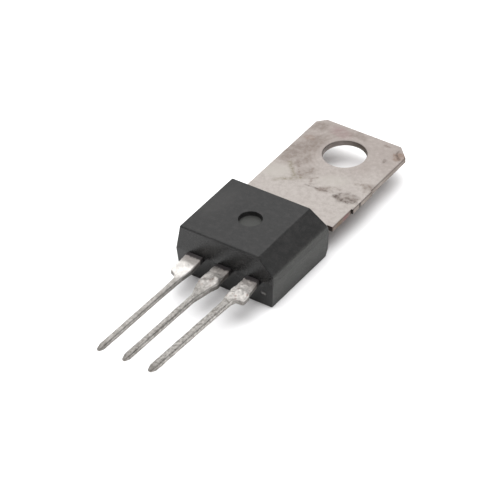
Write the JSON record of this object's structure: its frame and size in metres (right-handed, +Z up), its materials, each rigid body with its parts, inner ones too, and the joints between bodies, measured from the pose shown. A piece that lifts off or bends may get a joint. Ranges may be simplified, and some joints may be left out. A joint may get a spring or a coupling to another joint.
{
  "type": "triac in a tabbed power package",
  "caption": "Flat-lying triac: a moulded black body with one sloping long edge, a plated mounting tab with a screw hole, and straight leads with wide shoulders.",
  "frame": {"origin": "middle of the body's flat back, on which the part lies, halfway between its lead end and its tab end at the parting line", "axes": "+X across the package towards the sloping long edge, +Y along it towards the tab, +Z up out of the back"},
  "size_m": [0.0096, 0.0354, 0.0045],
  "materials": {
    "body_plastic": "black filled epoxy, semi-gloss with fine mould texture",
    "plated_frame": "copper alloy strip under dull nickel and tin, handled and stained",
    "tinned_lead": "copper alloy under hot-dipped tin, satin",
    "silicon": "polished silicon",
    "die_solder": "soft solder, dull",
    "bond_wire": "bright drawn wire"
  },
  "bodies": {
    "root": {"moulded_body": "body_plastic", "tab_frame": "plated_frame", "main_terminal_lead": "tinned_lead", "gate_lead": "tinned_lead", "triac_die": "silicon", "die_solder": "die_solder", "main_bond_wire": "bond_wire", "gate_bond_wire": "bond_wire"}
  },
  "joints": []
}
